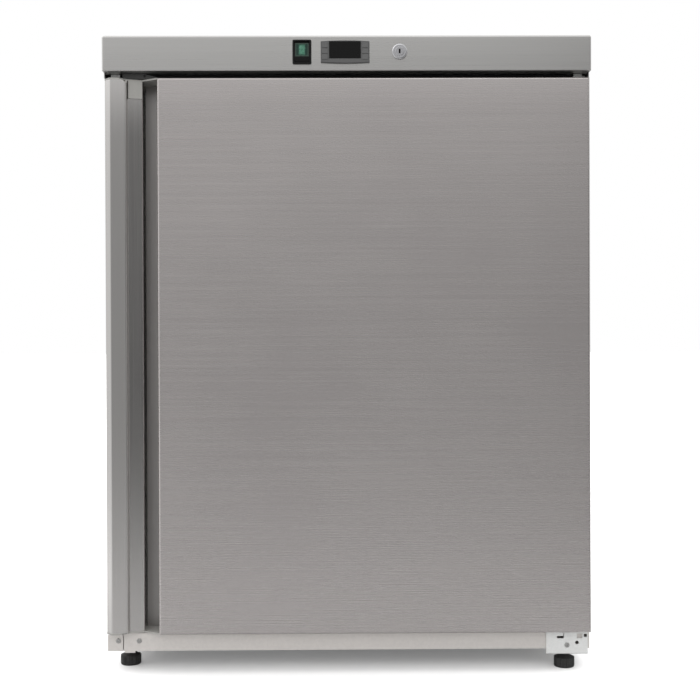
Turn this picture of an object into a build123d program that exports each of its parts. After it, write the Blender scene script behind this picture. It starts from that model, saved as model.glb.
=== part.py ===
from build123d import *
import os
from math import cos, radians, sin

# Undercounter refrigerator: a stainless steel cabinet under a folded worktop, with one insulated
# door hinged on its right edge. Millimetres. +X is to the right as seen from the front, +Y points
# to the back and +Z up. The origin is on the floor, under the middle of the whole object.

os.makedirs("parts", exist_ok=True)

# ------------------------------------------------------------------ overall size
WIDTH = 635
DEPTH = 640
HEIGHT = 830
CONTROL_PROUD = 3  # the lock plug stands this far in front of the fascia
FASCIA_Y = -DEPTH / 2 + CONTROL_PROUD
HALF_WIDTH = WIDTH / 2

# ------------------------------------------------------------------ levels above the floor
BRACKET_BOTTOM = 20
BASE_BOTTOM = 27
BASE_TOP = 48
PLINTH_TOP = 50.5
DOOR_BOTTOM = 52
DOOR_TOP = 776
BODY_TOP = 779
TRAY_PLATE = 782
FASCIA_BOTTOM = 784
BAY_TOP = 264
LINER_FLOOR = 95
LINER_TOP = 738
LINER_STEP = 310
SHELF_LEVELS = {"lower": 322, "middle": 452, "upper": 582}

DOOR_GAP = 1.5  # least room over the door

# ------------------------------------------------------------------ depths behind the fascia's face
DOOR_FRONT = 3
DOOR_BACK = 54
BRACKET_FRONT = 17.5
EAR_FRONT = 12
BASE_FRONT = 20
TRAY_FRONT = 21
CABINET_FRONT = 66
BAY_FRONT = 400
BODY_BACK = 600
CONDENSER_DEPTH = 609.5
LINER_STEP_DEPTH = 350
LINER_BACK = 553
SHELF_FRONT = 120
SHELF_BACK = 535

# ------------------------------------------------------------------ half widths
BODY_HALF = 317
LINER_HALF = 275
GASKET_HALF = 302

# ------------------------------------------------------------------ sheet and fits
STEEL = 1.0
HEAVY_STEEL = 1.2
RAIL_STEEL = 1.5
BRACKET_STEEL = 2.5
LINER_SHEET = 1.5
RUNNING_FIT = 0.07

# ------------------------------------------------------------------ door hinge
HINGE_X = 303
HINGE_DEPTH = 30
PIN_RADIUS = 4
BUSH_RADIUS = 7
BUSH_LENGTH = 20

# ------------------------------------------------------------------ controls on the fascia
SWITCH_X = -58.3
SWITCH_Z = 807.9
ROCKER_WIDTH = 19.4
ROCKER_REACH = 13.3
ROCKER_PIVOT_DEPTH = 5
CONTROLLER_X = -2.35
CONTROLLER_Z = 807.8
CONTROLLER_WIDTH = 63.1
CONTROLLER_SIDE_HEIGHT = 27.4
CONTROLLER_HEIGHT = 29.7
WINDOW = (41.1, 22.4)
WINDOW_CENTRE = (-2.55, 810.2)
KEY_SIZE = (8, 6.6)
KEY_COLUMNS = {"left": -28.5, "right": 23.6}
KEY_ROWS = {"upper": 816.3, "middle": 808.7, "lower": 801.2}
LOCK_X = 68.3
LOCK_Z = 808.4
LOCK_BARREL_RADIUS = 8
PLUG_RADIUS = 5.95
KEYWAY = (2.2, 5.8)
CAM_REACH = 43
CAM_HALF_WIDTH = 6
CAM_DEPTH = (24, 26.5)

# ------------------------------------------------------------------ feet: X, depth, top of the stud
FOOT_RADIUS = 13.5
FOOT_NECK_RADIUS = 6.5
FOOT_BAND_TOP = 12.5
FOOT_SHOULDER_TOP = 16
FOOT_NECK_TOP = 19.6
STUD_RADIUS = 4.95
FEET = {
    "front_left": (-293.6, 58, 38),
    "front_right": (286.4, 34, 38),
    "rear_left": (-290, 560, 38),
    "rear_right": (290, 560, 38),
}

# ------------------------------------------------------------------ fan and machine bay
FAN_Z = 667.5
FAN_RADIUS = 43
COMPRESSOR_X = 120
COMPRESSOR_DEPTH = 505
LIQUID_LINE_X = -245
DISCHARGE_X = 235


# ------------------------------------------------------------------ helpers
def y_at(depth):
    """Y of a point this far behind the fascia's front face."""
    return FASCIA_Y + depth


def front_plane(depth):
    """Upright plane at this depth: sketch x is X, sketch y is Z, and it faces the front."""
    return Plane.XZ.offset(-y_at(depth))


def block(x, depth, z, mode=Mode.ADD):
    """Box in the current part, from (low, high) pairs of X, depth and Z."""
    centre = ((x[0] + x[1]) / 2, y_at((depth[0] + depth[1]) / 2), (z[0] + z[1]) / 2)
    with Locations(centre):
        Box(x[1] - x[0], depth[1] - depth[0], z[1] - z[0], mode=mode)


def post(radius, x, depth, z, mode=Mode.ADD):
    """Upright cylinder in the current part, from z[0] to z[1]."""
    with Locations((x, y_at(depth), (z[0] + z[1]) / 2)):
        Cylinder(radius, z[1] - z[0], mode=mode)


def rod(radius, x, depth, z, mode=Mode.ADD):
    """Cylinder in the current part that lies front to back, from depth[0] to depth[1]."""
    with Locations(Location((x, y_at((depth[0] + depth[1]) / 2), z), (90, 0, 0))):
        Cylinder(radius, depth[1] - depth[0], mode=mode)


def on_side(side, low, high):
    """(low, high) in X for a feature low to high from the middle, on side -1 or 1."""
    return tuple(sorted((side * low, side * high)))


def inset(pair, amount):
    """The (low, high) pair shrunk by amount at each end."""
    return (pair[0] + amount, pair[1] - amount)


def save(piece, name):
    """Labels a finished piece and writes its STEP file."""
    piece.part.label = name
    export_step(piece.part, f"parts/{name}.step")


def upright_ring(half_width, z, width, depth, corner):
    """Rectangular ring facing the front; half_width and z give its outer edge."""
    with BuildPart() as ring:
        with BuildSketch(front_plane(depth[1])):
            with Locations((0, (z[0] + z[1]) / 2)):
                RectangleRounded(2 * half_width, z[1] - z[0], corner)
                RectangleRounded(2 * (half_width - width), z[1] - z[0] - 2 * width,
                                 corner / 2, mode=Mode.SUBTRACT)
        extrude(amount=depth[1] - depth[0])
    return ring.part


def pipe(points, radius, bends):
    """Round bar or tube along straight runs joined by arcs of the given radii."""
    with BuildPart() as tube:
        with BuildLine() as route:
            FilletPolyline(*points, radius=bends)
        with BuildSketch(Plane(origin=route.line @ 0, z_dir=route.line % 0)):
            Circle(radius)
        sweep()
    return tube.part


# ------------------------------------------------------------------ base
def bracket_punchings(back):
    """Cutter for the openings in the lower hinge bracket that run on through the base behind it."""
    with BuildPart() as punchings:
        with BuildSketch(front_plane(back)) as outline:
            with Locations((278.4, 42.4)):
                SlotOverall(9.8, 3.2)
            with Locations((282.8, 45)):
                Rectangle(1, 6)
            with Locations((311.4, 44.4)):
                Rectangle(4.2, 4.2)
            with Locations((300.3, 35.2)):
                Circle(2.4)
        extrude(amount=back - BRACKET_FRONT)
    return punchings.part


def base_rail(side):
    """Channel under one side of the cabinet, open towards the middle."""
    rail_width = 40
    flange = 20
    with BuildPart() as rail:
        inner = BODY_HALF - rail_width
        block(on_side(side, inner, BODY_HALF), (BASE_FRONT, BODY_BACK), (BASE_BOTTOM, BASE_TOP))
        block(on_side(side, inner, BODY_HALF - RAIL_STEEL), (BASE_FRONT + RAIL_STEEL, BODY_BACK),
              inset((BASE_BOTTOM, BASE_TOP), RAIL_STEEL), Mode.SUBTRACT)
        block(on_side(side, inner, BODY_HALF - flange), (BASE_FRONT, BASE_FRONT + RAIL_STEEL),
              (BASE_BOTTOM, BASE_TOP), Mode.SUBTRACT)
        for x, depth, top in FEET.values():
            if x * side > 0:
                post(STUD_RADIUS + RUNNING_FIT, x, depth, (BASE_BOTTOM, BASE_BOTTOM + RAIL_STEEL),
                     Mode.SUBTRACT)
        add(bracket_punchings(BASE_FRONT + RAIL_STEEL), mode=Mode.SUBTRACT)
    return rail


save(base_rail(-1), "base_rail_left")
save(base_rail(1), "base_rail_right")

PLINTH_HALF = 296
PLINTH_FLANGE_HALF = 276.5
PLINTH_LOWER_FLANGE = 20
PLINTH_LIP_RIGHT = 258.5  # the lip over the plinth stops short of the hinge bracket
PLINTH_TAB_X = (-294.5, -281)
PLINTH_TAB_DROP = 2.5
PRESSED_MARK = (-286.6, 37.5)
PRESSED_DEPTH = 0.4
with BuildPart() as plinth_front:
    plinth_face = (BASE_FRONT, BASE_FRONT + HEAVY_STEEL)
    block((-PLINTH_HALF, PLINTH_HALF), plinth_face, (BASE_BOTTOM, BASE_TOP))
    block((-PLINTH_HALF, PLINTH_LIP_RIGHT), plinth_face, (BASE_TOP, PLINTH_TOP))
    block(PLINTH_TAB_X, plinth_face, (BASE_BOTTOM - PLINTH_TAB_DROP, BASE_BOTTOM))
    block((-PLINTH_FLANGE_HALF, PLINTH_FLANGE_HALF), (plinth_face[1], CABINET_FRONT),
          (BASE_TOP - HEAVY_STEEL, BASE_TOP))
    block((-PLINTH_FLANGE_HALF, PLINTH_FLANGE_HALF), (plinth_face[1], BASE_FRONT + PLINTH_LOWER_FLANGE),
          (BASE_BOTTOM, BASE_BOTTOM + HEAVY_STEEL))
    with BuildSketch(front_plane(BASE_FRONT + PRESSED_DEPTH)) as pressed_mark:
        with Locations(Location(PRESSED_MARK, -30)):
            SlotOverall(5, 1.6)
    extrude(amount=PRESSED_DEPTH, mode=Mode.SUBTRACT)
    add(bracket_punchings(plinth_face[1]), mode=Mode.SUBTRACT)
save(plinth_front, "plinth_front")


def levelling_foot(x, depth, stud_top):
    """Foot with a knurled band, a sloping shoulder and a stud that turns in the base."""
    knurls = 36
    knurl_radius = 0.7
    with BuildPart() as foot:
        post(FOOT_RADIUS, x, depth, (0, FOOT_BAND_TOP))
        fillet(foot.edges().filter_by(GeomType.CIRCLE).sort_by(Axis.Z)[0], 2)
        with Locations(Location((x, y_at(depth), FOOT_BAND_TOP / 2 + 1))):
            with PolarLocations(FOOT_RADIUS + knurl_radius / 2, knurls):
                Cylinder(knurl_radius, FOOT_BAND_TOP - 3, mode=Mode.SUBTRACT)
        with Locations((x, y_at(depth), (FOOT_BAND_TOP + FOOT_SHOULDER_TOP) / 2)):
            Cone(FOOT_RADIUS - 0.6, FOOT_NECK_RADIUS, FOOT_SHOULDER_TOP - FOOT_BAND_TOP)
        post(FOOT_NECK_RADIUS, x, depth, (FOOT_SHOULDER_TOP, FOOT_NECK_TOP))
        post(STUD_RADIUS, x, depth, (FOOT_NECK_TOP, stud_top))
    return foot


for place, (foot_x, foot_depth, foot_stud_top) in FEET.items():
    save(levelling_foot(foot_x, foot_depth, foot_stud_top), f"foot_{place}")

# ------------------------------------------------------------------ hinge brackets and pins
BRACKET_X = (259.7, 314.4)
BRACKET_PLATE_X = (270, 314)
BRACKET_WINDOW_X = (300.2, 307.4)
BRACKET_WINDOW_Z = (40.9, 47.1)
BRACKET_PLATE_BACK = 50
BRACKET_FOOT_BACK = 60
BRACKET_BEND = 2
PIN_HOLE_RADIUS = PIN_RADIUS + 0.02
with BuildPart() as lower_hinge_bracket:
    block(BRACKET_X, (BRACKET_FRONT, BASE_FRONT), (BRACKET_BOTTOM, BASE_TOP + BRACKET_STEEL))
    block(BRACKET_PLATE_X, (BASE_FRONT, BRACKET_PLATE_BACK), (BASE_TOP, BASE_TOP + BRACKET_STEEL))
    block(BRACKET_PLATE_X, (BASE_FRONT, BRACKET_FOOT_BACK),
          (BRACKET_BOTTOM, BRACKET_BOTTOM + BRACKET_STEEL))
    fillet(lower_hinge_bracket.edges().filter_by(Axis.X).group_by(Axis.Y)[0], BRACKET_BEND)
    add(bracket_punchings(BASE_FRONT), mode=Mode.SUBTRACT)
    block(BRACKET_WINDOW_X, (BRACKET_FRONT, BASE_FRONT), BRACKET_WINDOW_Z, Mode.SUBTRACT)
    post(PIN_HOLE_RADIUS, HINGE_X, HINGE_DEPTH, (BASE_TOP, BASE_TOP + BRACKET_STEEL), Mode.SUBTRACT)
    front_foot_x, front_foot_depth, front_stud_top = FEET["front_right"]
    post(STUD_RADIUS + RUNNING_FIT, front_foot_x, front_foot_depth,
         (BRACKET_BOTTOM, BRACKET_BOTTOM + BRACKET_STEEL), Mode.SUBTRACT)
save(lower_hinge_bracket, "lower_hinge_bracket")

UPPER_BRACKET_Z = (BODY_TOP, TRAY_PLATE)
UPPER_PLATE_DEPTH = (23, 110)
GAP_TAB_Z = (777.3, 783.6)  # the tabs and cover that show in the gap over the door
GAP_TAB_FRONT = 18.5
UPPER_TAB_X = (298, 309)
BLANK_TAB_X = (-309.2, -297.4)
BLANK_TAB_FOOT_Z = (TRAY_PLATE - HEAVY_STEEL, TRAY_PLATE)
with BuildPart() as upper_hinge_bracket:
    block((262, 314), UPPER_PLATE_DEPTH, UPPER_BRACKET_Z)
    block(UPPER_TAB_X, (GAP_TAB_FRONT, UPPER_PLATE_DEPTH[0]), UPPER_BRACKET_Z)
    block(UPPER_TAB_X, (GAP_TAB_FRONT, GAP_TAB_FRONT + BRACKET_STEEL), GAP_TAB_Z)
    post(PIN_HOLE_RADIUS, HINGE_X, HINGE_DEPTH, UPPER_BRACKET_Z, Mode.SUBTRACT)
    block(BLANK_TAB_X, (GAP_TAB_FRONT, GAP_TAB_FRONT + HEAVY_STEEL), GAP_TAB_Z)
    block(BLANK_TAB_X, (GAP_TAB_FRONT, UPPER_PLATE_DEPTH[1]), BLANK_TAB_FOOT_Z)
save(upper_hinge_bracket, "upper_hinge_bracket")

PIN_ENGAGEMENT = 18
PIN_COLLAR = 2
with BuildPart() as hinge_pins:
    post(PIN_RADIUS, HINGE_X, HINGE_DEPTH, (BASE_TOP, DOOR_BOTTOM + PIN_ENGAGEMENT))
    post(PIN_RADIUS + PIN_COLLAR, HINGE_X, HINGE_DEPTH, (BASE_TOP + BRACKET_STEEL, DOOR_BOTTOM - 0.3))
    post(PIN_RADIUS, HINGE_X, HINGE_DEPTH, (DOOR_TOP - PIN_ENGAGEMENT, TRAY_PLATE))
save(hinge_pins, "hinge_pins")

COVER_FACE = 14
COVER_BACK = TRAY_FRONT - 0.1
COVER_OUTLINE = [(-293.8, 776.8), (-246, 776.8), (-246, 778.4), (-266, 783.6), (-293.8, 783.6)]
COVER_DIMPLE = (-264.3, 780.4)
with BuildPart() as hinge_cover:
    with BuildSketch(front_plane(COVER_BACK)) as cover_face:
        with BuildLine():
            Polyline(*COVER_OUTLINE, close=True)
        make_face()
    extrude(amount=COVER_BACK - COVER_FACE)
    fillet(hinge_cover.faces().sort_by(Axis.X)[0].edges().filter_by(Axis.Z), 2)
    rod(1.7, COVER_DIMPLE[0], (COVER_FACE, COVER_FACE + 3), COVER_DIMPLE[1], Mode.SUBTRACT)
save(hinge_cover, "hinge_cover")

# ------------------------------------------------------------------ cabinet
for side_name, side_sign in (("left", -1), ("right", 1)):
    with BuildPart() as side_panel:
        block(on_side(side_sign, BODY_HALF - STEEL, BODY_HALF), (CABINET_FRONT, BODY_BACK),
              (BASE_TOP, FASCIA_BOTTOM))
        block(on_side(side_sign, BODY_HALF - STEEL, BODY_HALF), (EAR_FRONT, CABINET_FRONT),
              (DOOR_TOP + DOOR_GAP, FASCIA_BOTTOM))
    save(side_panel, f"side_panel_{side_name}")

PANEL_HALF = BODY_HALF - STEEL
FRAME_BACK = CABINET_FRONT + 2
LINER_OUTER_HALF = LINER_HALF + LINER_SHEET
with BuildPart() as front_frame:
    block((-PANEL_HALF, PANEL_HALF), (CABINET_FRONT, FRAME_BACK), (BASE_TOP + STEEL, BODY_TOP))
    block((-LINER_OUTER_HALF, LINER_OUTER_HALF), (CABINET_FRONT, FRAME_BACK),
          (LINER_FLOOR - LINER_SHEET, LINER_TOP + LINER_SHEET), Mode.SUBTRACT)
save(front_frame, "front_frame")

with BuildPart() as top_rear_panel:
    block((-PANEL_HALF, PANEL_HALF), (FRAME_BACK, BODY_BACK), (BODY_TOP - STEEL, BODY_TOP))
    block((-PANEL_HALF, PANEL_HALF), (BODY_BACK - STEEL, BODY_BACK), (BAY_TOP, BODY_TOP))
save(top_rear_panel, "top_rear_panel")

with BuildPart() as floor_panel:
    block((-PANEL_HALF, PANEL_HALF), (CABINET_FRONT, BAY_FRONT + STEEL), (BASE_TOP, BASE_TOP + STEEL))
    block((-PANEL_HALF, PANEL_HALF), (BAY_FRONT, BAY_FRONT + STEEL), (BASE_TOP, BAY_TOP))
    block((-PANEL_HALF, PANEL_HALF), (BAY_FRONT, BODY_BACK), (BAY_TOP - STEEL, BAY_TOP))
save(floor_panel, "floor_panel")


def cabin(grow, front):
    """The cold cabin's space, grown by grow on every wall, with its step over the machine bay."""
    with BuildPart() as space:
        block((-LINER_HALF - grow, LINER_HALF + grow), (front, LINER_BACK + grow),
              (LINER_FLOOR - grow, LINER_TOP + grow))
        block((-LINER_HALF - grow, LINER_HALF + grow), (LINER_STEP_DEPTH + grow, LINER_BACK + grow),
              (LINER_FLOOR - grow, LINER_STEP - grow), Mode.SUBTRACT)
    return space.part


cabin_outside = cabin(LINER_SHEET, CABINET_FRONT)
cabin_inside = cabin(0, CABINET_FRONT - STEEL)
LINER_LIP = 8
LEDGE_REACH = 12
LEDGE_HEIGHT = 6
LEDGE_DEPTH = (100, 540)
with BuildPart() as inner_liner:
    add(cabin_outside)
    lip_half = LINER_HALF + LINER_LIP
    block((-lip_half, lip_half), (CABINET_FRONT - STEEL, CABINET_FRONT),
          (LINER_FLOOR - LINER_LIP, LINER_TOP + LINER_LIP))
    add(cabin_inside, mode=Mode.SUBTRACT)
    for level in SHELF_LEVELS.values():
        for side_sign in (-1, 1):
            block(on_side(side_sign, LINER_HALF - LEDGE_REACH, LINER_HALF), LEDGE_DEPTH,
                  (level - LEDGE_HEIGHT, level))
save(inner_liner, "inner_liner")

with BuildPart() as cabinet_foam:
    block((-PANEL_HALF, PANEL_HALF), (FRAME_BACK, BODY_BACK - STEEL),
          (BASE_TOP + STEEL, BODY_TOP - STEEL))
    block((-PANEL_HALF, PANEL_HALF), (BAY_FRONT, BODY_BACK), (BASE_TOP, BAY_TOP), Mode.SUBTRACT)
    add(cabin_outside, mode=Mode.SUBTRACT)
save(cabinet_foam, "cabinet_foam")

# ------------------------------------------------------------------ worktop and control tray
TOP_STEEL = HEAVY_STEEL
TOP_RETURN = 12
TOP_FRONT_RETURN = 20
FASCIA_CUT_SWITCH = (22.2, 29.6)
FASCIA_CUT_CONTROLLER = (57.6, 25.6)
with BuildPart() as worktop:
    block((-HALF_WIDTH, HALF_WIDTH), (0, BODY_BACK), (FASCIA_BOTTOM, HEIGHT))
    fillet(worktop.edges().filter_by(Axis.Z), 2)
    fillet(worktop.faces().sort_by(Axis.Z)[-1].edges(), 3)
    fillet(worktop.faces().sort_by(Axis.Z)[0].edges().sort_by(Axis.Y)[0], 1)
    block(inset((-HALF_WIDTH, HALF_WIDTH), TOP_STEEL), inset((0, BODY_BACK), TOP_STEEL),
          (FASCIA_BOTTOM + TOP_STEEL, HEIGHT - TOP_STEEL), Mode.SUBTRACT)
    block(inset((-HALF_WIDTH, HALF_WIDTH), TOP_RETURN), (TOP_FRONT_RETURN, BODY_BACK - TOP_RETURN),
          (FASCIA_BOTTOM, FASCIA_BOTTOM + TOP_STEEL), Mode.SUBTRACT)
    with BuildSketch(front_plane(TOP_STEEL)) as fascia_cuts:
        with Locations((SWITCH_X, SWITCH_Z)):
            Rectangle(*FASCIA_CUT_SWITCH)
        with Locations((CONTROLLER_X, CONTROLLER_Z)):
            Rectangle(*FASCIA_CUT_CONTROLLER)
        with Locations((LOCK_X, LOCK_Z)):
            Circle(LOCK_BARREL_RADIUS + 0.1)
    extrude(amount=TOP_STEEL, mode=Mode.SUBTRACT)
save(worktop, "worktop")

TRAY_LIP_HALF = 297
TRAY_HALF = 315.5
TRAY_BACK = 120
TRAY_PLATE_Z = (TRAY_PLATE, TRAY_PLATE + HEAVY_STEEL)
CAM_SLOT_X = (60, 105)
CAM_SLOT_DEPTH = (23, 28.5)
with BuildPart() as control_tray:
    lip_depth = (TRAY_FRONT, TRAY_FRONT + HEAVY_STEEL)
    block((-TRAY_LIP_HALF, TRAY_LIP_HALF), lip_depth, (GAP_TAB_Z[0], TRAY_PLATE_Z[1]))
    block((-TRAY_HALF, TRAY_HALF), (lip_depth[1], TRAY_BACK), TRAY_PLATE_Z)
    block(CAM_SLOT_X, CAM_SLOT_DEPTH, TRAY_PLATE_Z, Mode.SUBTRACT)
save(control_tray, "control_tray")

# ------------------------------------------------------------------ rocker switch
SWITCH_FRAME = (24.6, 31.8)
SWITCH_FRAME_PROUD = 1.8
SWITCH_CASE = (21.6, 29)
SWITCH_CASE_DEPTH = 30
SWITCH_OPENING = (20, 27.4)
SWITCH_WELL_DEPTH = 12
SWITCH_TERMINALS = (-5.5, 0, 5.5)
ROCKER_AXLE = 1.5
with BuildPart() as switch_housing:
    with BuildSketch(front_plane(0)) as switch_frame:
        with Locations((SWITCH_X, SWITCH_Z)):
            RectangleRounded(*SWITCH_FRAME, 2)
    extrude(amount=SWITCH_FRAME_PROUD)
    fillet(switch_housing.faces().sort_by(Axis.Y)[0].edges(), 0.8)
    with BuildSketch(front_plane(SWITCH_CASE_DEPTH)) as switch_case:
        with Locations((SWITCH_X, SWITCH_Z)):
            Rectangle(*SWITCH_CASE)
    extrude(amount=SWITCH_CASE_DEPTH)
    with BuildSketch(front_plane(SWITCH_WELL_DEPTH)) as switch_well:
        with Locations((SWITCH_X, SWITCH_Z)):
            Rectangle(*SWITCH_OPENING)
    extrude(amount=SWITCH_WELL_DEPTH + SWITCH_FRAME_PROUD, mode=Mode.SUBTRACT)
    with Locations(Location((SWITCH_X, y_at(ROCKER_PIVOT_DEPTH), SWITCH_Z), (0, 90, 0))):
        Cylinder(ROCKER_AXLE + 0.05, SWITCH_FRAME[0], mode=Mode.SUBTRACT)
    for offset_x in SWITCH_TERMINALS:
        block(inset((SWITCH_X + offset_x, SWITCH_X + offset_x), -0.4),
              (SWITCH_CASE_DEPTH, SWITCH_CASE_DEPTH + 8), inset((SWITCH_Z, SWITCH_Z), -3.15))
save(switch_housing, "switch_housing")


def rocker_point(forward, up):
    """Point of the rocker's side outline, measured from its pivot."""
    return (y_at(ROCKER_PIVOT_DEPTH) - forward, SWITCH_Z + up)


# The rocker's face has a long upper slope and a short lower one; its ends are arcs about the pivot.
FACE_TOP = (4.2, 12.62)
FACE_RIDGE = (6.3, -6.4)
FACE_END = (4.6, -12.48)
ROCKER_BACK = -3
ROCKER_BACK_REACH = 12.96
LENS_TOP = (4.29, 11.82)
LENS_END = (6.25, -5.9)
LENS_PROUD = 0.4
LENS_THICKNESS = 1.6


def lens_outline(proud, sunk):
    """Corners of the lens, in its side view, standing proud of the face and sunk under it."""
    return [rocker_point(LENS_TOP[0] + proud, LENS_TOP[1]),
            rocker_point(LENS_END[0] + proud, LENS_END[1]),
            rocker_point(LENS_END[0] - sunk, LENS_END[1]),
            rocker_point(LENS_TOP[0] - sunk, LENS_TOP[1])]


LENS_WIDTH = 17.4
with BuildPart() as switch_rocker:
    with BuildSketch(Plane.YZ.offset(SWITCH_X - ROCKER_WIDTH / 2)) as rocker_side:
        with BuildLine():
            Polyline(rocker_point(*FACE_TOP), rocker_point(*FACE_RIDGE), rocker_point(*FACE_END))
            ThreePointArc(rocker_point(*FACE_END), rocker_point(0, -ROCKER_REACH),
                          rocker_point(ROCKER_BACK, -ROCKER_BACK_REACH))
            Line(rocker_point(ROCKER_BACK, -ROCKER_BACK_REACH),
                 rocker_point(ROCKER_BACK, ROCKER_BACK_REACH))
            ThreePointArc(rocker_point(ROCKER_BACK, ROCKER_BACK_REACH), rocker_point(0, ROCKER_REACH),
                          rocker_point(*FACE_TOP))
        make_face()
    extrude(amount=ROCKER_WIDTH)
    with Locations(Location((SWITCH_X, y_at(ROCKER_PIVOT_DEPTH), SWITCH_Z), (0, 90, 0))):
        Cylinder(ROCKER_AXLE, 21.2)
    with BuildSketch(Plane.YZ.offset(SWITCH_X - LENS_WIDTH / 2)) as lens_pocket:
        with BuildLine():
            Polyline(*lens_outline(3, LENS_THICKNESS - LENS_PROUD), close=True)
        make_face()
    extrude(amount=LENS_WIDTH, mode=Mode.SUBTRACT)
save(switch_rocker, "switch_rocker")

with BuildPart() as switch_lens:
    with BuildSketch(Plane.YZ.offset(SWITCH_X - LENS_WIDTH / 2)) as lens_side:
        with BuildLine():
            Polyline(*lens_outline(LENS_PROUD, LENS_THICKNESS - LENS_PROUD), close=True)
        make_face()
    extrude(amount=LENS_WIDTH)
save(switch_lens, "switch_lens")

# ------------------------------------------------------------------ temperature controller
CONTROLLER_PROUD = 2.4
CONTROLLER_CASE = (57, 25)
CONTROLLER_CASE_DEPTH = 55
KEY_CLEARANCE = 0.1
with BuildPart() as controller_housing:
    left, right = inset((CONTROLLER_X, CONTROLLER_X), -CONTROLLER_WIDTH / 2)
    low, high = inset((CONTROLLER_Z, CONTROLLER_Z), -CONTROLLER_SIDE_HEIGHT / 2)
    crown_low, crown_high = inset((CONTROLLER_Z, CONTROLLER_Z), -CONTROLLER_HEIGHT / 2)
    with BuildSketch(front_plane(0)) as controller_face:
        with BuildLine():
            ThreePointArc((left, high), (CONTROLLER_X, crown_high), (right, high))
            Line((right, high), (right, low))
            ThreePointArc((right, low), (CONTROLLER_X, crown_low), (left, low))
            Line((left, low), (left, high))
        make_face()
    extrude(amount=CONTROLLER_PROUD)
    fillet(controller_housing.faces().sort_by(Axis.Y)[0].edges(), 0.8)
    with BuildSketch(front_plane(CONTROLLER_CASE_DEPTH)) as controller_case:
        with Locations((CONTROLLER_X, CONTROLLER_Z)):
            Rectangle(*CONTROLLER_CASE)
    extrude(amount=CONTROLLER_CASE_DEPTH)
    with BuildSketch(front_plane(0)) as face_openings:
        with Locations(WINDOW_CENTRE):
            Rectangle(*WINDOW)
        for column_x in KEY_COLUMNS.values():
            for row_z in KEY_ROWS.values():
                with Locations((column_x, row_z)):
                    Rectangle(KEY_SIZE[0] + 2 * KEY_CLEARANCE, KEY_SIZE[1] + 2 * KEY_CLEARANCE)
    extrude(amount=CONTROLLER_PROUD, mode=Mode.SUBTRACT)
save(controller_housing, "controller_housing")

WINDOW_CLEARANCE = 0.05
with BuildPart() as controller_window:
    with BuildSketch(front_plane(-0.2)) as window_face:
        with Locations(WINDOW_CENTRE):
            Rectangle(WINDOW[0] - 2 * WINDOW_CLEARANCE, WINDOW[1] - 2 * WINDOW_CLEARANCE)
    extrude(amount=CONTROLLER_PROUD)
    fillet(controller_window.faces().sort_by(Axis.Y)[0].edges(), 0.4)
save(controller_window, "controller_window")

KEY_DEPTH = (-2.9, -0.8)
for column, column_x in KEY_COLUMNS.items():
    for row, row_z in KEY_ROWS.items():
        with BuildPart() as key:
            with BuildSketch(front_plane(KEY_DEPTH[1])):
                with Locations((column_x, row_z)):
                    Rectangle(*KEY_SIZE)
            extrude(amount=KEY_DEPTH[1] - KEY_DEPTH[0])
            fillet(key.faces().sort_by(Axis.Y)[0].edges(), 0.4)
        save(key, f"key_{column}_{row}")

# ------------------------------------------------------------------ door lock
LOCK_FLANGE_RADIUS = 9.95
LOCK_FLANGE_PROUD = 2.5
LOCK_BODY_BACK = 22
CAM_POST_RADIUS = 4
with BuildPart() as lock_barrel:
    rod(LOCK_FLANGE_RADIUS, LOCK_X, (-LOCK_FLANGE_PROUD, 0), LOCK_Z)
    fillet(lock_barrel.faces().sort_by(Axis.Y)[0].edges(), 1.6)
    rod(LOCK_BARREL_RADIUS, LOCK_X, (0, LOCK_BODY_BACK), LOCK_Z)
    rod(PLUG_RADIUS + RUNNING_FIT, LOCK_X, (-CONTROL_PROUD, LOCK_BODY_BACK), LOCK_Z, Mode.SUBTRACT)
save(lock_barrel, "lock_barrel")

with BuildPart() as lock_plug:
    rod(PLUG_RADIUS, LOCK_X, (-CONTROL_PROUD, LOCK_BODY_BACK + 0.5), LOCK_Z)
    fillet(lock_plug.faces().sort_by(Axis.Y)[0].edges(), 0.6)
    block((LOCK_X - KEYWAY[0] / 2, LOCK_X + KEYWAY[0] / 2), (-CONTROL_PROUD, 10),
          (LOCK_Z - KEYWAY[1] / 2, LOCK_Z + KEYWAY[1] / 2), Mode.SUBTRACT)
    rod(CAM_POST_RADIUS, LOCK_X, (LOCK_BODY_BACK + 0.5, 28), LOCK_Z)
save(lock_plug, "lock_plug")

with BuildPart() as lock_cam:
    with BuildSketch(front_plane(CAM_DEPTH[1])) as cam_outline:
        with Locations((LOCK_X, LOCK_Z)):
            Circle(8)
        with Locations((LOCK_X + (CAM_REACH - CAM_HALF_WIDTH) / 2, LOCK_Z)):
            SlotCenterToCenter(CAM_REACH - CAM_HALF_WIDTH, 2 * CAM_HALF_WIDTH)
        with Locations((LOCK_X, LOCK_Z)):
            Circle(CAM_POST_RADIUS + 0.02, mode=Mode.SUBTRACT)
    extrude(amount=CAM_DEPTH[1] - CAM_DEPTH[0])
save(lock_cam, "lock_cam")

# ------------------------------------------------------------------ door
DOOR_RIGHT = 316
DOOR_LEFT = -316
PANEL_LEFT = -247  # left edge of the flat front panel, beside the finger trough
END_CAP = 2
TROUGH_FLOOR = 45
DOOR_Z = (DOOR_BOTTOM, DOOR_TOP)
KEEPER_X = (58, 104)
KEEPER_DEPTH = (21, 31)
KEEPER_Z = (759, DOOR_TOP - STEEL)
KEEPER_WALL = 2
BUSH_Z = [(DOOR_BOTTOM, DOOR_BOTTOM + BUSH_LENGTH), (DOOR_TOP - BUSH_LENGTH, DOOR_TOP)]

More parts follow.
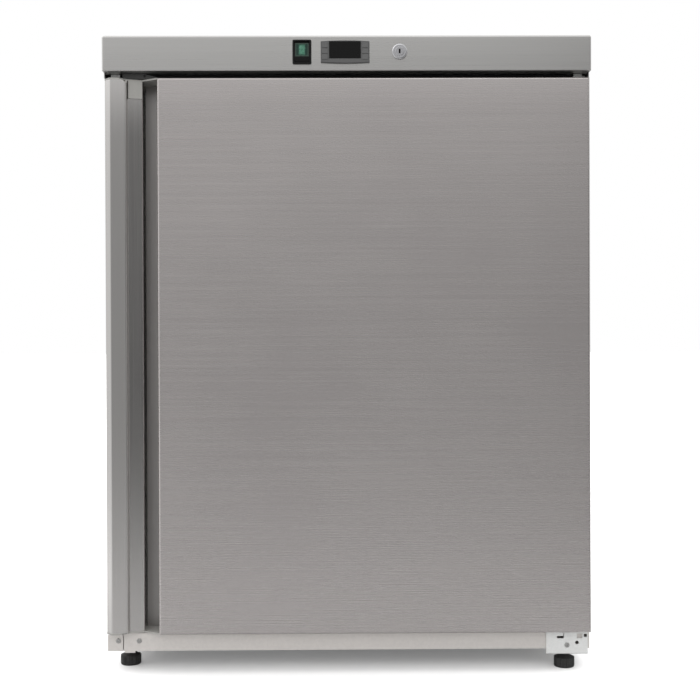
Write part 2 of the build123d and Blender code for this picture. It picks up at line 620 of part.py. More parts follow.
with BuildPart() as door_skin:
    block((PANEL_LEFT, DOOR_RIGHT), (DOOR_FRONT, DOOR_BACK), DOOR_Z)
    fillet(door_skin.faces().sort_by(Axis.Y)[0].edges(), 2.5)
    block(inset((PANEL_LEFT, DOOR_RIGHT), STEEL), (DOOR_FRONT + STEEL, DOOR_BACK),
          inset(DOOR_Z, STEEL), Mode.SUBTRACT)
    block((PANEL_LEFT, PANEL_LEFT + STEEL), (TROUGH_FLOOR + STEEL, DOOR_BACK), inset(DOOR_Z, STEEL),
          Mode.SUBTRACT)
    block(inset(KEEPER_X, KEEPER_WALL), inset(KEEPER_DEPTH, KEEPER_WALL), (DOOR_TOP - STEEL, DOOR_TOP),
          Mode.SUBTRACT)
    for bush_z in BUSH_Z:
        post(BUSH_RADIUS + 0.05, HINGE_X, HINGE_DEPTH, bush_z, Mode.SUBTRACT)
save(door_skin, "door_skin")

# The handle is one sheet folded into a bevel, a face, a set-back grip lip and a finger trough.
HANDLE_FOLD = [(-315.4, 53.4), (-315.4, 11.5), (-308.3, 3.8), (-287.9, 5.2), (-286.8, 13.4),
               (-268.3, 17.6), (-268.3, 21), (-286.6, 21), (-286.6, 44.4), (PANEL_LEFT, 44.4)]
HANDLE_BENDS = [3, 3, 1.2, 1.2, 1.2, 1.2, 1.2, 1.2]
with BuildPart() as door_handle:
    with BuildSketch(Plane.XY.offset(DOOR_BOTTOM + END_CAP)) as handle_section:
        with BuildLine() as handle_fold:
            FilletPolyline(*[(x, y_at(depth)) for x, depth in HANDLE_FOLD], radius=HANDLE_BENDS)
        trace(line_width=HEAVY_STEEL)
    extrude(amount=DOOR_TOP - DOOR_BOTTOM - 2 * END_CAP)
    with BuildSketch(front_plane(8)) as handle_corner:
        with BuildLine():
            Polyline((-295.4, DOOR_TOP), (-286.6, DOOR_TOP), (-286.6, DOOR_TOP - 6), close=True)
        make_face()
    extrude(amount=6, mode=Mode.SUBTRACT)
save(door_handle, "door_handle")

END_CAP_OUTLINE = [(DOOR_LEFT, DOOR_BACK), (DOOR_LEFT, 11), (-308.6, 3), (-296, 3.8), (-287.9, 12),
                   (-267.7, 17), (PANEL_LEFT, 5), (PANEL_LEFT, DOOR_BACK)]
GRIP_FLANGE_OUTLINE = [(-285.4, 12), (-267.9, 15.9), (-267.9, 16.7), (-285.4, 12.8)]
GRIP_FLANGE_LENGTH = 23
with BuildPart() as door_end_caps:
    for cap_bottom in (DOOR_BOTTOM, DOOR_TOP - END_CAP):
        with BuildSketch(Plane.XY.offset(cap_bottom)):
            with BuildLine():
                Polyline(*[(x, y_at(depth)) for x, depth in END_CAP_OUTLINE], close=True)
            make_face()
        extrude(amount=END_CAP)
    with BuildSketch(Plane.XY.offset(DOOR_TOP - END_CAP - GRIP_FLANGE_LENGTH)):
        with BuildLine():
            Polyline(*[(x, y_at(depth)) for x, depth in GRIP_FLANGE_OUTLINE], close=True)
        make_face()
    extrude(amount=GRIP_FLANGE_LENGTH)
save(door_end_caps, "door_end_caps")

PAN_HALF = 262
PAN_Z = (105, 728)
PAN_BACK = 74


def door_pan(shrink):
    """Raised middle of the door liner, shrunk by shrink on every side but the front."""
    with BuildPart() as pan:
        block(inset((-PAN_HALF, PAN_HALF), shrink), (DOOR_BACK, PAN_BACK - shrink), inset(PAN_Z, shrink))
        fillet(pan.edges().filter_by(Axis.Y), 14 - shrink)
        fillet(pan.faces().sort_by(Axis.Y)[-1].edges(), 7 - shrink)
    return pan.part


pan_outside = door_pan(0)
pan_inside = door_pan(LINER_SHEET)
with BuildPart() as door_liner:
    block(inset((DOOR_LEFT, DOOR_RIGHT), 0.5), (DOOR_BACK, DOOR_BACK + LINER_SHEET), inset(DOOR_Z, 0.5))
    add(pan_outside)
    add(pan_inside, mode=Mode.SUBTRACT)
save(door_liner, "door_liner")

FOAM_BEHIND_HANDLE = 14
FOAM_LEFT = -314.8
FOAM_GRIP_RIGHT = -288
with BuildPart() as door_foam:
    foam_z = inset(DOOR_Z, END_CAP)
    block((PANEL_LEFT + STEEL, DOOR_RIGHT - STEEL), (DOOR_FRONT + STEEL, DOOR_BACK), foam_z)
    block((FOAM_LEFT, PANEL_LEFT + STEEL), (TROUGH_FLOOR + STEEL, DOOR_BACK), foam_z)
    block((FOAM_LEFT, FOAM_GRIP_RIGHT), (FOAM_BEHIND_HANDLE, TROUGH_FLOOR + STEEL), foam_z)
    add(pan_inside)
    block(KEEPER_X, KEEPER_DEPTH, KEEPER_Z, Mode.SUBTRACT)
    for bush_z in BUSH_Z:
        post(BUSH_RADIUS + 0.1, HINGE_X, HINGE_DEPTH, (bush_z[0] - 1, bush_z[1] + 1), Mode.SUBTRACT)
save(door_foam, "door_foam")

with BuildPart() as lock_keeper:
    block(KEEPER_X, KEEPER_DEPTH, KEEPER_Z)
    block(inset(KEEPER_X, KEEPER_WALL), inset(KEEPER_DEPTH, KEEPER_WALL),
          (KEEPER_Z[0] + KEEPER_WALL, KEEPER_Z[1]), Mode.SUBTRACT)
save(lock_keeper, "lock_keeper")

with BuildPart() as door_bushes:
    for bush_z, bore_z in ((BUSH_Z[0], (BUSH_Z[0][0], BUSH_Z[0][1] - 1)),
                           (BUSH_Z[1], (BUSH_Z[1][0] + 1, BUSH_Z[1][1]))):
        post(BUSH_RADIUS, HINGE_X, HINGE_DEPTH, bush_z)
        post(PIN_RADIUS + RUNNING_FIT, HINGE_X, HINGE_DEPTH, bore_z, Mode.SUBTRACT)
save(door_bushes, "door_bushes")

GASKET_Z = (64, 763)
GASKET_BASE_DEPTH = (DOOR_BACK + LINER_SHEET, 58)
GASKET_BULB_DEPTH = (GASKET_BASE_DEPTH[1], CABINET_FRONT - 0.3)
GASKET_INSET = 3
gasket_base = upright_ring(GASKET_HALF, GASKET_Z, 18, GASKET_BASE_DEPTH, 4)
gasket_bulb = upright_ring(GASKET_HALF - GASKET_INSET, inset(GASKET_Z, GASKET_INSET), 12,
                           GASKET_BULB_DEPTH, 4)
with BuildPart() as door_gasket:
    add(gasket_base)
    add(gasket_bulb)
save(door_gasket, "door_gasket")

# ------------------------------------------------------------------ shelves
SHELF_HALF = 271.5
SHELF_BAR = 6
SHELF_WIRE = 3
SHELF_CROSS_BAR = 4
SHELF_WIRES = 21
SHELF_GAP = 0.2


def wire_shelf(level):
    """Welded shelf: a bar frame with a cross bar and front-to-back wires."""
    with BuildPart() as shelf:
        z = (level + SHELF_GAP, level + SHELF_GAP + SHELF_BAR)
        outer_x = (-SHELF_HALF, SHELF_HALF)
        outer_depth = (SHELF_FRONT, SHELF_BACK)
        block(outer_x, outer_depth, z)
        block(inset(outer_x, SHELF_BAR), inset(outer_depth, SHELF_BAR), z, Mode.SUBTRACT)
        middle = (SHELF_FRONT + SHELF_BACK) / 2
        block(inset(outer_x, SHELF_BAR), inset((middle, middle), -SHELF_CROSS_BAR / 2),
              (z[0], z[1] - SHELF_WIRE))
        pitch = (2 * SHELF_HALF - SHELF_BAR) / (SHELF_WIRES + 1)
        with Locations((0, y_at(middle), z[1] - SHELF_WIRE / 2)):
            with GridLocations(pitch, 0, SHELF_WIRES, 1):
                Box(SHELF_WIRE, SHELF_BACK - SHELF_FRONT - 2 * SHELF_BAR, SHELF_WIRE)
    return shelf


for shelf_name, shelf_level in SHELF_LEVELS.items():
    save(wire_shelf(shelf_level), f"shelf_{shelf_name}")

# ------------------------------------------------------------------ evaporator, fan and probe
EVAPORATOR_HALF = 190
EVAPORATOR_Z = (345, 590)
PASS_COUNT = 6
PASS_PITCH = 38
PASS_HALF = 170
PASS_WIDTH = 8
with BuildPart() as evaporator:
    channel_depth = (LINER_BACK - 4, LINER_BACK - 2)
    block((-EVAPORATOR_HALF, EVAPORATOR_HALF), (channel_depth[1], LINER_BACK), EVAPORATOR_Z)
    for number in range(PASS_COUNT):
        pass_bottom = EVAPORATOR_Z[0] + 22 + number * PASS_PITCH
        pass_top = pass_bottom + PASS_WIDTH
        block((-PASS_HALF, PASS_HALF), channel_depth, (pass_bottom, pass_top))
        if number < PASS_COUNT - 1:
            turn_side = 1 if number % 2 == 0 else -1
            block(on_side(turn_side, PASS_HALF - PASS_WIDTH, PASS_HALF), channel_depth,
                  (pass_top, pass_bottom + PASS_PITCH))
save(evaporator, "evaporator")

COVER_FRONT = 500
COVER_Z = (600, 735)
COVER_HALF = 75
COVER_WALL = 2
GRILLE_RINGS = (11, 20, 29, 38)
GRILLE_HALF_RIB = 0.9
MOTOR_DEPTH = (526, 546)
with BuildPart() as fan_cover:
    cover_x = (-COVER_HALF, COVER_HALF)
    block(cover_x, (COVER_FRONT, LINER_BACK), COVER_Z)
    fillet(fan_cover.edges().filter_by(Axis.Y), 8)
    block(inset(cover_x, COVER_WALL), (COVER_FRONT + COVER_WALL, LINER_BACK),
          inset(COVER_Z, COVER_WALL), Mode.SUBTRACT)
    with BuildSketch(front_plane(COVER_FRONT + COVER_WALL)) as grille_openings:
        with Locations((0, FAN_Z)):
            Circle(FAN_RADIUS + 5)
            for ring_radius in GRILLE_RINGS:
                Circle(ring_radius + GRILLE_HALF_RIB, mode=Mode.SUBTRACT)
                Circle(ring_radius - GRILLE_HALF_RIB)
            Circle(GRILLE_RINGS[0] + GRILLE_HALF_RIB, mode=Mode.SUBTRACT)
            with PolarLocations(0, 4):
                Rectangle(2.4, 2 * FAN_RADIUS + 12, mode=Mode.SUBTRACT)
    extrude(amount=COVER_WALL, mode=Mode.SUBTRACT)
    block(inset(cover_x, COVER_WALL), (MOTOR_DEPTH[1], MOTOR_DEPTH[1] + 3), (FAN_Z - 6, FAN_Z + 6))
save(fan_cover, "fan_cover")

MOTOR_RADIUS = 16
FAN_BORE_RADIUS = 2
with BuildPart() as fan_motor:
    rod(MOTOR_RADIUS, 0, MOTOR_DEPTH, FAN_Z)
    fillet(fan_motor.faces().sort_by(Axis.Y)[0].edges(), 2)
    rod(FAN_BORE_RADIUS, 0, (MOTOR_DEPTH[0], MOTOR_DEPTH[0] + 14), FAN_Z, Mode.SUBTRACT)
save(fan_motor, "fan_motor")

HUB_RADIUS = 14
HUB_DEPTH = (508, 524)
BLADE_COUNT = 5
BLADE = (FAN_RADIUS - HUB_RADIUS - 1, 1.6, 20)
BLADE_TWIST = 30
with BuildPart() as fan_rotor:
    rod(HUB_RADIUS, 0, HUB_DEPTH, FAN_Z)
    fillet(fan_rotor.faces().sort_by(Axis.Y)[0].edges(), 3)
    rod(FAN_BORE_RADIUS - RUNNING_FIT, 0, (HUB_DEPTH[1], MOTOR_DEPTH[0] + 12), FAN_Z)
    reach = HUB_RADIUS - 1 + BLADE[0] / 2
    for number in range(BLADE_COUNT):
        angle = number * 360 / BLADE_COUNT
        blade_centre = (reach * cos(radians(angle)), y_at(sum(HUB_DEPTH) / 2),
                        FAN_Z + reach * sin(radians(angle)))
        with Locations(Location(blade_centre, (0, -angle, 0)) * Location((0, 0, 0), (BLADE_TWIST, 0, 0))):
            Box(*BLADE)
save(fan_rotor, "fan_rotor")

PROBE_X = 268
PROBE_RADIUS = 3
with BuildPart() as temperature_probe:
    post(PROBE_RADIUS, PROBE_X, 450, (610, 645))
    fillet(temperature_probe.edges().filter_by(GeomType.CIRCLE), 1.4)
    block((PROBE_X + PROBE_RADIUS - 0.5, LINER_HALF), (446, 454), (620, 635))
save(temperature_probe, "temperature_probe")

# ------------------------------------------------------------------ machine bay
TRAY_Z = (BASE_BOTTOM + RAIL_STEEL, BASE_BOTTOM + 2 * RAIL_STEEL)
GROMMET_TOP = 45
BAY_TRAY_DEPTH = (405, 598)
BAY_TRAY_WALL_HALF = 276
BAY_TRAY_WALL_TOP = 44
with BuildPart() as compressor_tray:
    block((-280, 280), BAY_TRAY_DEPTH, TRAY_Z)
    for wall_front in (BAY_TRAY_DEPTH[0], BAY_TRAY_DEPTH[1] - RAIL_STEEL):
        block((-BAY_TRAY_WALL_HALF, BAY_TRAY_WALL_HALF), (wall_front, wall_front + RAIL_STEEL),
              (TRAY_Z[1], BAY_TRAY_WALL_TOP))
save(compressor_tray, "compressor_tray")

GROMMET_RADIUS = 9
GROMMET_WAIST_RADIUS = 5.5
GROMMET_WAIST = 5
with BuildPart() as compressor_grommets:
    with Locations((COMPRESSOR_X, y_at(COMPRESSOR_DEPTH), (TRAY_Z[1] + GROMMET_TOP) / 2)):
        with GridLocations(170, 90, 2, 2):
            Cylinder(GROMMET_RADIUS, GROMMET_TOP - TRAY_Z[1])
            Cylinder(GROMMET_RADIUS + 1, GROMMET_WAIST, mode=Mode.SUBTRACT)
            Cylinder(GROMMET_WAIST_RADIUS, GROMMET_WAIST)
save(compressor_grommets, "compressor_grommets")


def shell_point(radius, z):
    """Point of the compressor shell's outline, radius from its axis."""
    return (y_at(COMPRESSOR_DEPTH) + radius, z)


SHELL_BOTTOM = 47.5
SHELL_TOP = 190
SHELL_RADIUS = 72
SEAM = (112, 118)
DISCHARGE_Z = 130
SUCTION_Z = 160
with BuildPart() as compressor:
    with BuildSketch(Plane.YZ.offset(COMPRESSOR_X)) as shell_half:
        with BuildLine():
            Line(shell_point(0, SHELL_BOTTOM), shell_point(56, SHELL_BOTTOM))
            ThreePointArc(shell_point(56, SHELL_BOTTOM), shell_point(67, 53), shell_point(71, 66))
            Polyline(shell_point(71, 66), shell_point(SHELL_RADIUS, SEAM[0]),
                     shell_point(SHELL_RADIUS + 3, SEAM[0]), shell_point(SHELL_RADIUS + 3, SEAM[1]),
                     shell_point(SHELL_RADIUS, SEAM[1]), shell_point(70, 148))
            ThreePointArc(shell_point(70, 148), shell_point(48, 180), shell_point(0, SHELL_TOP))
            Line(shell_point(0, SHELL_TOP), shell_point(0, SHELL_BOTTOM))
        make_face()
    revolve(axis=Axis((COMPRESSOR_X, y_at(COMPRESSOR_DEPTH), 0), (0, 0, 1)))
    block(inset((COMPRESSOR_X, COMPRESSOR_X), -100), inset((COMPRESSOR_DEPTH, COMPRESSOR_DEPTH), -60),
          (GROMMET_TOP, SHELL_BOTTOM))
    with Locations(Location((COMPRESSOR_X + 74, y_at(COMPRESSOR_DEPTH), DISCHARGE_Z), (0, 90, 0))):
        Cylinder(4, 20)
    with Locations(Location((COMPRESSOR_X - 69, y_at(COMPRESSOR_DEPTH), SUCTION_Z), (0, 90, 0))):
        Cylinder(5, 20)
    block((COMPRESSOR_X - 96, COMPRESSOR_X - 65), inset((COMPRESSOR_DEPTH, COMPRESSOR_DEPTH), -25),
          (80, 140))
save(compressor, "compressor")

DRIP_X = (50, 190)
DRIP_DEPTH = (440, 570)
DRIP_Z = (192, 217)
DRIP_WALL = 2
with BuildPart() as drip_tray:
    block(DRIP_X, DRIP_DEPTH, DRIP_Z)
    fillet(drip_tray.edges().filter_by(Axis.Z), 10)
    block(inset(DRIP_X, DRIP_WALL), inset(DRIP_DEPTH, DRIP_WALL), (DRIP_Z[0] + DRIP_WALL, DRIP_Z[1]),
          Mode.SUBTRACT)
save(drip_tray, "drip_tray")

# ------------------------------------------------------------------ condenser on the back
RUN_PITCH = 45
RUN_COUNT = 9
RUN_HALF = 225
FIRST_RUN_Z = 312
LAST_RUN_Z = FIRST_RUN_Z + RUN_PITCH * (RUN_COUNT - 1)
PIPE_RADIUS = 3
CONDENSER_INLET_Z = 290
condenser_points = [(DISCHARGE_X, y_at(CONDENSER_DEPTH), CONDENSER_INLET_Z)]
run_start_x = DISCHARGE_X
for run in range(RUN_COUNT):
    run_z = FIRST_RUN_Z + run * RUN_PITCH
    run_end_x = -RUN_HALF if run % 2 == 0 else RUN_HALF
    condenser_points.append((run_start_x, y_at(CONDENSER_DEPTH), run_z))
    condenser_points.append((run_end_x, y_at(CONDENSER_DEPTH), run_z))
    run_start_x = run_end_x
condenser_bends = [10] + [22] * (2 * RUN_COUNT - 2)
condenser_serpentine = pipe(condenser_points, PIPE_RADIUS, condenser_bends)
with BuildPart() as condenser_tube:
    add(condenser_serpentine)
save(condenser_tube, "condenser_tube")

WIRE_PITCH = 12
WIRE_COUNT = 36
GRID_DEPTH = (613, 615)
GRID_Z = (296, 688)
GRID_HALF = 212
GRID_WIRE = (1.8, GRID_DEPTH[1] - GRID_DEPTH[0])
STRAP_HALF = 8
STRAP_STEEL = 2
STRAP_Z = inset(GRID_Z, -10)
with BuildPart() as condenser_grid:
    with Locations((0, y_at(sum(GRID_DEPTH) / 2), sum(GRID_Z) / 2)):
        with GridLocations(WIRE_PITCH, 0, WIRE_COUNT, 1):
            Box(*GRID_WIRE, GRID_Z[1] - GRID_Z[0])
    for bar_z in (GRID_Z[0], GRID_Z[1] - 4):
        block((-GRID_HALF, GRID_HALF), GRID_DEPTH, (bar_z, bar_z + 4))
    for strap_x in (-150, 150):
        strap = (strap_x - STRAP_HALF, strap_x + STRAP_HALF)
        block(strap, (GRID_DEPTH[1], GRID_DEPTH[1] + STRAP_STEEL), STRAP_Z)
        for leg_z in (STRAP_Z[0], STRAP_Z[1] - STRAP_STEEL):
            block(strap, (BODY_BACK, GRID_DEPTH[1] + STRAP_STEEL), (leg_z, leg_z + STRAP_STEEL))
save(condenser_grid, "condenser_grid")

DRIER_DEPTH = 560
DRIER_Z = (90, 180)
LIQUID_LINE_LOW = 60
SUCTION_X = 10
PIPE_BEND = 14
discharge_line = pipe([(COMPRESSOR_X + 84, y_at(COMPRESSOR_DEPTH), DISCHARGE_Z),
                       (DISCHARGE_X, y_at(COMPRESSOR_DEPTH), DISCHARGE_Z),
                       (DISCHARGE_X, y_at(CONDENSER_DEPTH), DISCHARGE_Z),
                       (DISCHARGE_X, y_at(CONDENSER_DEPTH), CONDENSER_INLET_Z)], PIPE_RADIUS, PIPE_BEND)
liquid_line = pipe([(-RUN_HALF, y_at(CONDENSER_DEPTH), LAST_RUN_Z),
                    (LIQUID_LINE_X, y_at(CONDENSER_DEPTH), LAST_RUN_Z),
                    (LIQUID_LINE_X, y_at(CONDENSER_DEPTH), LIQUID_LINE_LOW),
                    (LIQUID_LINE_X, y_at(DRIER_DEPTH), LIQUID_LINE_LOW),
                    (LIQUID_LINE_X, y_at(DRIER_DEPTH), DRIER_Z[0])], PIPE_RADIUS, PIPE_BEND)
suction_line = pipe([(COMPRESSOR_X - 79, y_at(COMPRESSOR_DEPTH), SUCTION_Z),
                     (SUCTION_X, y_at(COMPRESSOR_DEPTH), SUCTION_Z),
                     (SUCTION_X, y_at(COMPRESSOR_DEPTH), BAY_TOP - STEEL)], 4, PIPE_BEND)
with BuildPart() as pipework:
    add(discharge_line)
    add(liquid_line)
    add(suction_line)
    post(9, LIQUID_LINE_X, DRIER_DEPTH, DRIER_Z)
    post(1.2, LIQUID_LINE_X, DRIER_DEPTH, (DRIER_Z[1], BAY_TOP - STEEL))
save(pipework, "pipework")

GLAND_X = -120
GLAND_Z = 56
GLAND_DEPTH = (595, 614)
GLAND_NUT_DEPTH = (599, 606)
GLAND_PLATE_Z = (44, 70)
with BuildPart() as cable_gland:
    block(inset((GLAND_X, GLAND_X), -14), (GLAND_DEPTH[0], GLAND_NUT_DEPTH[0]), GLAND_PLATE_Z)
    with BuildSketch(front_plane(GLAND_NUT_DEPTH[1])) as gland_nut:
        with Locations((GLAND_X, GLAND_Z)):
            RegularPolygon(10, 6)
    extrude(amount=GLAND_NUT_DEPTH[1] - GLAND_NUT_DEPTH[0])
    rod(7, GLAND_X, (GLAND_NUT_DEPTH[1], GLAND_DEPTH[1]), GLAND_Z)
    rod(4, GLAND_X, GLAND_DEPTH, GLAND_Z, Mode.SUBTRACT)
save(cable_gland, "cable_gland")

SPACER_BACK = DEPTH - CONTROL_PROUD
with BuildPart() as rear_spacers:
    for spacer_x in (-200, 200):
        with BuildSketch(front_plane(BODY_BACK)):
            with Locations((spacer_x, 740)):
                RectangleRounded(34, 34, 5)
        extrude(amount=-(SPACER_BACK - BODY_BACK), taper=6)
save(rear_spacers, "rear_spacers")

# ------------------------------------------------------------------ pan-head screws
SCREW_HEAD_RADIUS = 3.3
SCREW_HEAD_HEIGHT = 1.7
CROSS_SLOT = (0.8, 3.6)
CROSS_DEPTH = 0.9
FRONT_SCREWS = [(-303, BASE_FRONT, 40.4), (-275.7, BASE_FRONT, 40.2), (287, BRACKET_FRONT, 32.2)]
REAR_SCREWS = [(x, BODY_BACK, z) for x in (-300, 0, 300) for z in (275, 770)]


def pan_head(x, depth, z, faces):
    """Pan head with a cross recess on a surface at this depth; faces is -1 to the front, 1 to the back."""
    head_depth = tuple(sorted((depth, depth + faces * SCREW_HEAD_HEIGHT)))
    recess_depth = tuple(sorted((depth + faces * SCREW_HEAD_HEIGHT,
                                 depth + faces * (SCREW_HEAD_HEIGHT - CROSS_DEPTH))))
    with BuildPart() as head:
        rod(SCREW_HEAD_RADIUS, x, head_depth, z)
        outer_face = head.faces().sort_by(Axis.Y)[0 if faces < 0 else -1]
        fillet(outer_face.edges(), 0.9)
        for half_x, half_z in (CROSS_SLOT, CROSS_SLOT[::-1]):
            block(inset((x, x), -half_x / 2), recess_depth, inset((z, z), -half_z / 2), Mode.SUBTRACT)
    return head.part


with BuildPart() as screws:
    for screw_x, screw_depth, screw_z in FRONT_SCREWS:
        add(pan_head(screw_x, screw_depth, screw_z, -1))
    for screw_x, screw_depth, screw_z in REAR_SCREWS:
        add(pan_head(screw_x, screw_depth, screw_z, 1))
save(screws, "screws")
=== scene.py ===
import math

import bmesh
import bpy
from mathutils import Matrix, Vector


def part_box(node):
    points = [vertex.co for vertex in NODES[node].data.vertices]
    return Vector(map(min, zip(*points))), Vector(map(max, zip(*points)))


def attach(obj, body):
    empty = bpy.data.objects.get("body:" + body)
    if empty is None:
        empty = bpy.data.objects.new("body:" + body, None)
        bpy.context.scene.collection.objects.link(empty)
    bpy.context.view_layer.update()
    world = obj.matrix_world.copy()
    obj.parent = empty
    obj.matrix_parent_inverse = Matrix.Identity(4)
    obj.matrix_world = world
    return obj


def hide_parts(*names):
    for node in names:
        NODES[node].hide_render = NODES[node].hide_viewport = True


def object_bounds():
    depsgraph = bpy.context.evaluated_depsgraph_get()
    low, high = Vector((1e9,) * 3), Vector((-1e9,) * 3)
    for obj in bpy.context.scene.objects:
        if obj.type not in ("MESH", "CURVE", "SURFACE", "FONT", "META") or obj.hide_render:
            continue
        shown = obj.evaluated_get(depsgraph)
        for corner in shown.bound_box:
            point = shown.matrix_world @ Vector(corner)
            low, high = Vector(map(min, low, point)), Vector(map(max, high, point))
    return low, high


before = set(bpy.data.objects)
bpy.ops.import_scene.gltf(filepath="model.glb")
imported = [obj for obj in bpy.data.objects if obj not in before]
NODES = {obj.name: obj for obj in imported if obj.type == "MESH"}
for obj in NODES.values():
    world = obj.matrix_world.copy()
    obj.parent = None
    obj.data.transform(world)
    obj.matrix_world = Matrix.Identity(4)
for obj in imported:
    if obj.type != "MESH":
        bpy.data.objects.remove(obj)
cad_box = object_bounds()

# An undercounter refrigerator seen from the front: brushed stainless steel, fascia controls,
# a full-height finger pull on the left and a zinc hinge bracket at the lower right.
MM = 0.001
FASCIA_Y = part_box("worktop")[0][1]
HALF_DEPTH = cad_box[1][1]


# ------------------------------------------------------------------ shader helpers
class Shader:
    """A material under construction: a Principled shader and the nodes that feed it."""

    def __init__(self, name, colour, roughness, metallic=0.0):
        self.material = bpy.data.materials.new(name)
        self.material.use_nodes = True
        self.tree = self.material.node_tree
        self.principled = self.tree.nodes["Principled BSDF"]
        self.principled.inputs["Base Color"].default_value = (*colour, 1)
        self.principled.inputs["Roughness"].default_value = roughness
        self.principled.inputs["Metallic"].default_value = metallic
        self.place = self.add("ShaderNodeTexCoord").outputs["Object"]

    def add(self, kind, **settings):
        node = self.tree.nodes.new(kind)
        for key, value in settings.items():
            setattr(node, key, value)
        return node

    def link(self, source, target):
        self.tree.links.new(source, target)

    def stretched(self, scale):
        """Object coordinates in metres, multiplied by scale on each axis."""
        mapping = self.add("ShaderNodeMapping")
        mapping.inputs["Scale"].default_value = scale
        self.link(self.place, mapping.inputs["Vector"])
        return mapping.outputs["Vector"]

    def noise(self, scale, detail=3.0, rough=0.6):
        """Noise whose cells are 1 / scale metres on each axis; returns a value from 0 to 1."""
        node = self.add("ShaderNodeTexNoise")
        node.inputs["Scale"].default_value = 1.0
        node.inputs["Detail"].default_value = detail
        node.inputs["Roughness"].default_value = rough
        self.link(self.stretched(scale), node.inputs["Vector"])
        return node.outputs["Fac"]

    def cells(self, scale):
        """Flat random cells, such as zinc spangle, 1 / scale metres wide; a value from 0 to 1."""
        node = self.add("ShaderNodeTexVoronoi")
        node.inputs["Scale"].default_value = 1.0
        self.link(self.stretched(scale), node.inputs["Vector"])
        grey = self.add("ShaderNodeRGBToBW")
        self.link(node.outputs["Color"], grey.inputs["Color"])
        return grey.outputs["Val"]

    def remap(self, value, low, high, from_low=0.3, from_high=0.7):
        """Carries from_low and from_high, by default the usual spread of noise, to low and high."""
        node = self.add("ShaderNodeMapRange")
        node.inputs["From Min"].default_value = from_low
        node.inputs["From Max"].default_value = from_high
        node.inputs["To Min"].default_value = low
        node.inputs["To Max"].default_value = high
        self.link(value, node.inputs["Value"])
        return node.outputs["Result"]

    def math(self, operation, a, b):
        node = self.add("ShaderNodeMath", operation=operation)
        for index, value in enumerate((a, b)):
            if isinstance(value, (int, float)):
                node.inputs[index].default_value = value
            else:
                self.link(value, node.inputs[index])
        return node.outputs[0]

    def tint(self, value, dark, light):
        """Colour from dark to light as value goes from 0 to 1, into the base colour."""
        ramp = self.add("ShaderNodeValToRGB")
        ramp.color_ramp.elements[0].color = (*dark, 1)
        ramp.color_ramp.elements[1].color = (*light, 1)
        self.link(value, ramp.inputs["Fac"])
        self.link(ramp.outputs["Color"], self.principled.inputs["Base Color"])

    def position(self, axis):
        """Object coordinate in metres along "X", "Y" or "Z"."""
        parts = self.add("ShaderNodeSeparateXYZ")
        self.link(self.place, parts.inputs["Vector"])
        return parts.outputs[axis]

    def blend(self, factor, below, above):
        """Colour below where factor is 0 and above where it is 1."""
        node = self.add("ShaderNodeMix", data_type="RGBA")
        self.link(factor, node.inputs[0])
        for index, colour in ((6, below), (7, above)):
            if isinstance(colour, tuple):
                node.inputs[index].default_value = (*colour, 1)
            else:
                self.link(colour, node.inputs[index])
        return node.outputs[2]

    def roughness(self, value):
        self.link(value, self.principled.inputs["Roughness"])

    def bump(self, height, distance):
        """Bump from a height value; distance is the relief in metres."""
        node = self.add("ShaderNodeBump")
        node.inputs["Distance"].default_value = distance
        node.inputs["Strength"].default_value = 1
        self.link(height, node.inputs["Height"])
        self.link(node.outputs["Normal"], self.principled.inputs["Normal"])


def shade(colour, factor):
    return tuple(channel * factor for channel in colour)


def dress(material, *node_names):
    """Gives CAD nodes this material."""
    for name in node_names:
        mesh = NODES[name].data
        mesh.materials.clear()
        mesh.materials.append(material)


def below_top(node_name, drop):
    """The height that is drop millimetres below the top of a CAD node."""
    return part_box(node_name)[1][2] - drop * MM


# ------------------------------------------------------------------ metals
SHEET_BOW = 0.36  # the bump at a rolled edge is this times the square of the height over its start
BRUSH_ALONG, BRUSH_ACROSS = 4, 1100  # brush marks per metre, along the grain and across it
BRUSH_ANISOTROPY = 0.7
BRUSH_GLOSS = 0.04  # roughness from brush mark to brush mark goes up and down by this
SMEAR_SCALE = 3.1
SMEAR_GLOSS = (-0.02, 0.03)
DULL_GLOSS = 0.32  # added to the roughness where the brushing is coarser


